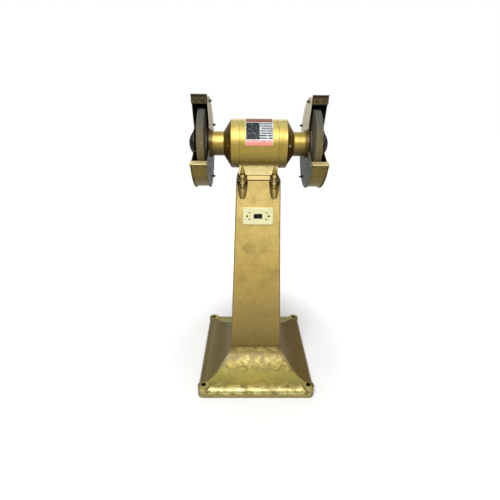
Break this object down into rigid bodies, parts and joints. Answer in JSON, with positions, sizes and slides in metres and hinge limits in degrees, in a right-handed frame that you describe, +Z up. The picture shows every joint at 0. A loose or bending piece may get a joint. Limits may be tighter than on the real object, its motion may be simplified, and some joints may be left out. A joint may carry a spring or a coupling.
{
  "type": "pedestal bench grinder",
  "caption": "Floor-standing bench grinder: motor with a guarded wheel at each end, on a tapered hollow column with a flared base, with tool rests, spark deflectors and a rocker switch.",
  "frame": {"origin": "centre of the base's underside, on the floor", "axes": "+Z up the column, -Y towards the user and the switch, +X along the spindle to the right wheel as the user sees it"},
  "size_m": [0.524, 0.552, 1.171],
  "materials": {
    "stand_paint": "hammered gold enamel on cast iron, satin",
    "motor_paint": "smooth gold enamel on cast iron, gloss",
    "guard_paint": "grey-olive enamel on sheet steel, gloss",
    "cap_paint": "dark grey enamel on pressed steel",
    "cover_paint": "gold enamel on sheet steel, satin",
    "zinc_steel": "zinc plated",
    "dark_steel": "black oxide",
    "rest_steel": "ground steel, worn",
    "deflector_steel": "dark olive-brown enamel, worn",
    "shaft_steel": "turned and ground",
    "core_steel": "stacked laminations",
    "winding_copper": "varnished copper wire",
    "cage_aluminium": "die cast",
    "bearing_steel": "polished",
    "flange_iron": "turned",
    "abrasive": "vitrified abrasive grain",
    "blotter_card": "pressed card",
    "plate_plastic": "cream moulded",
    "black_plastic": "moulded",
    "terminal_plastic": "moulded",
    "socket_brass": "stamped",
    "box_steel": "galvanised sheet",
    "label_foil": "printed foil with plain colour blocks"
  },
  "bodies": {
    "stand": {"stand_column": "stand_paint", "rear_access_cover": "cover_paint", "rear_cover_screws": "zinc_steel", "terminal_block": "terminal_plastic", "cable_gland": "black_plastic", "gland_locknut": "black_plastic", "switch_plate": "plate_plastic", "switch_plate_screws": "zinc_steel", "switch_back_box": "box_steel", "socket_inserts": "socket_brass", "switch_housing": "black_plastic", "motor_frame": "motor_paint", "left_end_bell": "motor_paint", "right_end_bell": "motor_paint", "tie_bolts": "zinc_steel", "tie_bolt_nuts": "zinc_steel", "stator_core": "core_steel", "stator_windings": "winding_copper", "left_bearing": "bearing_steel", "right_bearing": "bearing_steel", "bearing_snap_rings": "dark_steel", "left_guard_body": "guard_paint", "right_guard_body": "guard_paint", "left_guard_cover": "guard_paint", "right_guard_cover": "guard_paint", "left_spindle_cap": "cap_paint", "right_spindle_cap": "cap_paint", "cap_screws": "zinc_steel", "guard_mount_screws": "zinc_steel", "guard_cover_screws": "dark_steel", "guard_cover_nuts": "dark_steel", "deflector_screws": "zinc_steel", "foot_bolts": "zinc_steel", "foot_washers": "zinc_steel", "foot_nuts": "zinc_steel", "rating_label": "label_foil"},
    "rotor": {"rotor_shaft": "shaft_steel", "rotor_core": "core_steel", "rotor_cage": "cage_aluminium", "bearing_inner_races": "bearing_steel", "left_inner_flange": "flange_iron", "left_outer_flange": "flange_iron", "left_wheel_blotters": "blotter_card", "left_grinding_wheel": "abrasive", "left_spindle_nut": "dark_steel", "right_inner_flange": "flange_iron", "right_outer_flange": "flange_iron", "right_wheel_blotters": "blotter_card", "right_grinding_wheel": "abrasive", "right_spindle_nut": "dark_steel"},
    "rocker": {"rocker_switch": "black_plastic"},
    "left_deflector": {"left_spark_deflector": "deflector_steel"},
    "right_deflector": {"right_spark_deflector": "deflector_steel"},
    "left_rest": {"left_tool_rest": "rest_steel", "left_tool_rest_bolts": "zinc_steel"},
    "right_rest": {"right_tool_rest": "rest_steel", "right_tool_rest_bolts": "zinc_steel"}
  },
  "joints": [
    {"name": "rotor_spin", "type": "hinge", "parent": "stand", "child": "rotor", "pos_m": [0, 0, 1.003], "axis": [1, 0, 0], "continuous": true},
    {"name": "rocker_tilt", "type": "hinge", "parent": "stand", "child": "rocker", "pos_m": [0, -0.0826, 0.7431], "axis": [0, 0.0372, 0.9993], "range_deg": [-16, 0]},
    {"name": "left_deflector_slide", "type": "slide", "parent": "stand", "child": "left_deflector", "axis": [0, 0, 1], "range_m": [-0.009, 0.003]},
    {"name": "right_deflector_slide", "type": "slide", "parent": "stand", "child": "right_deflector", "axis": [0, 0, 1], "range_m": [-0.009, 0.003]},
    {"name": "left_rest_slide", "type": "slide", "parent": "stand", "child": "left_rest", "axis": [0, 0.9659, 0.2588], "range_m": [0, 0.012]},
    {"name": "right_rest_slide", "type": "slide", "parent": "stand", "child": "right_rest", "axis": [0, 0.9659, 0.2588], "range_m": [0, 0.012]}
  ]
}
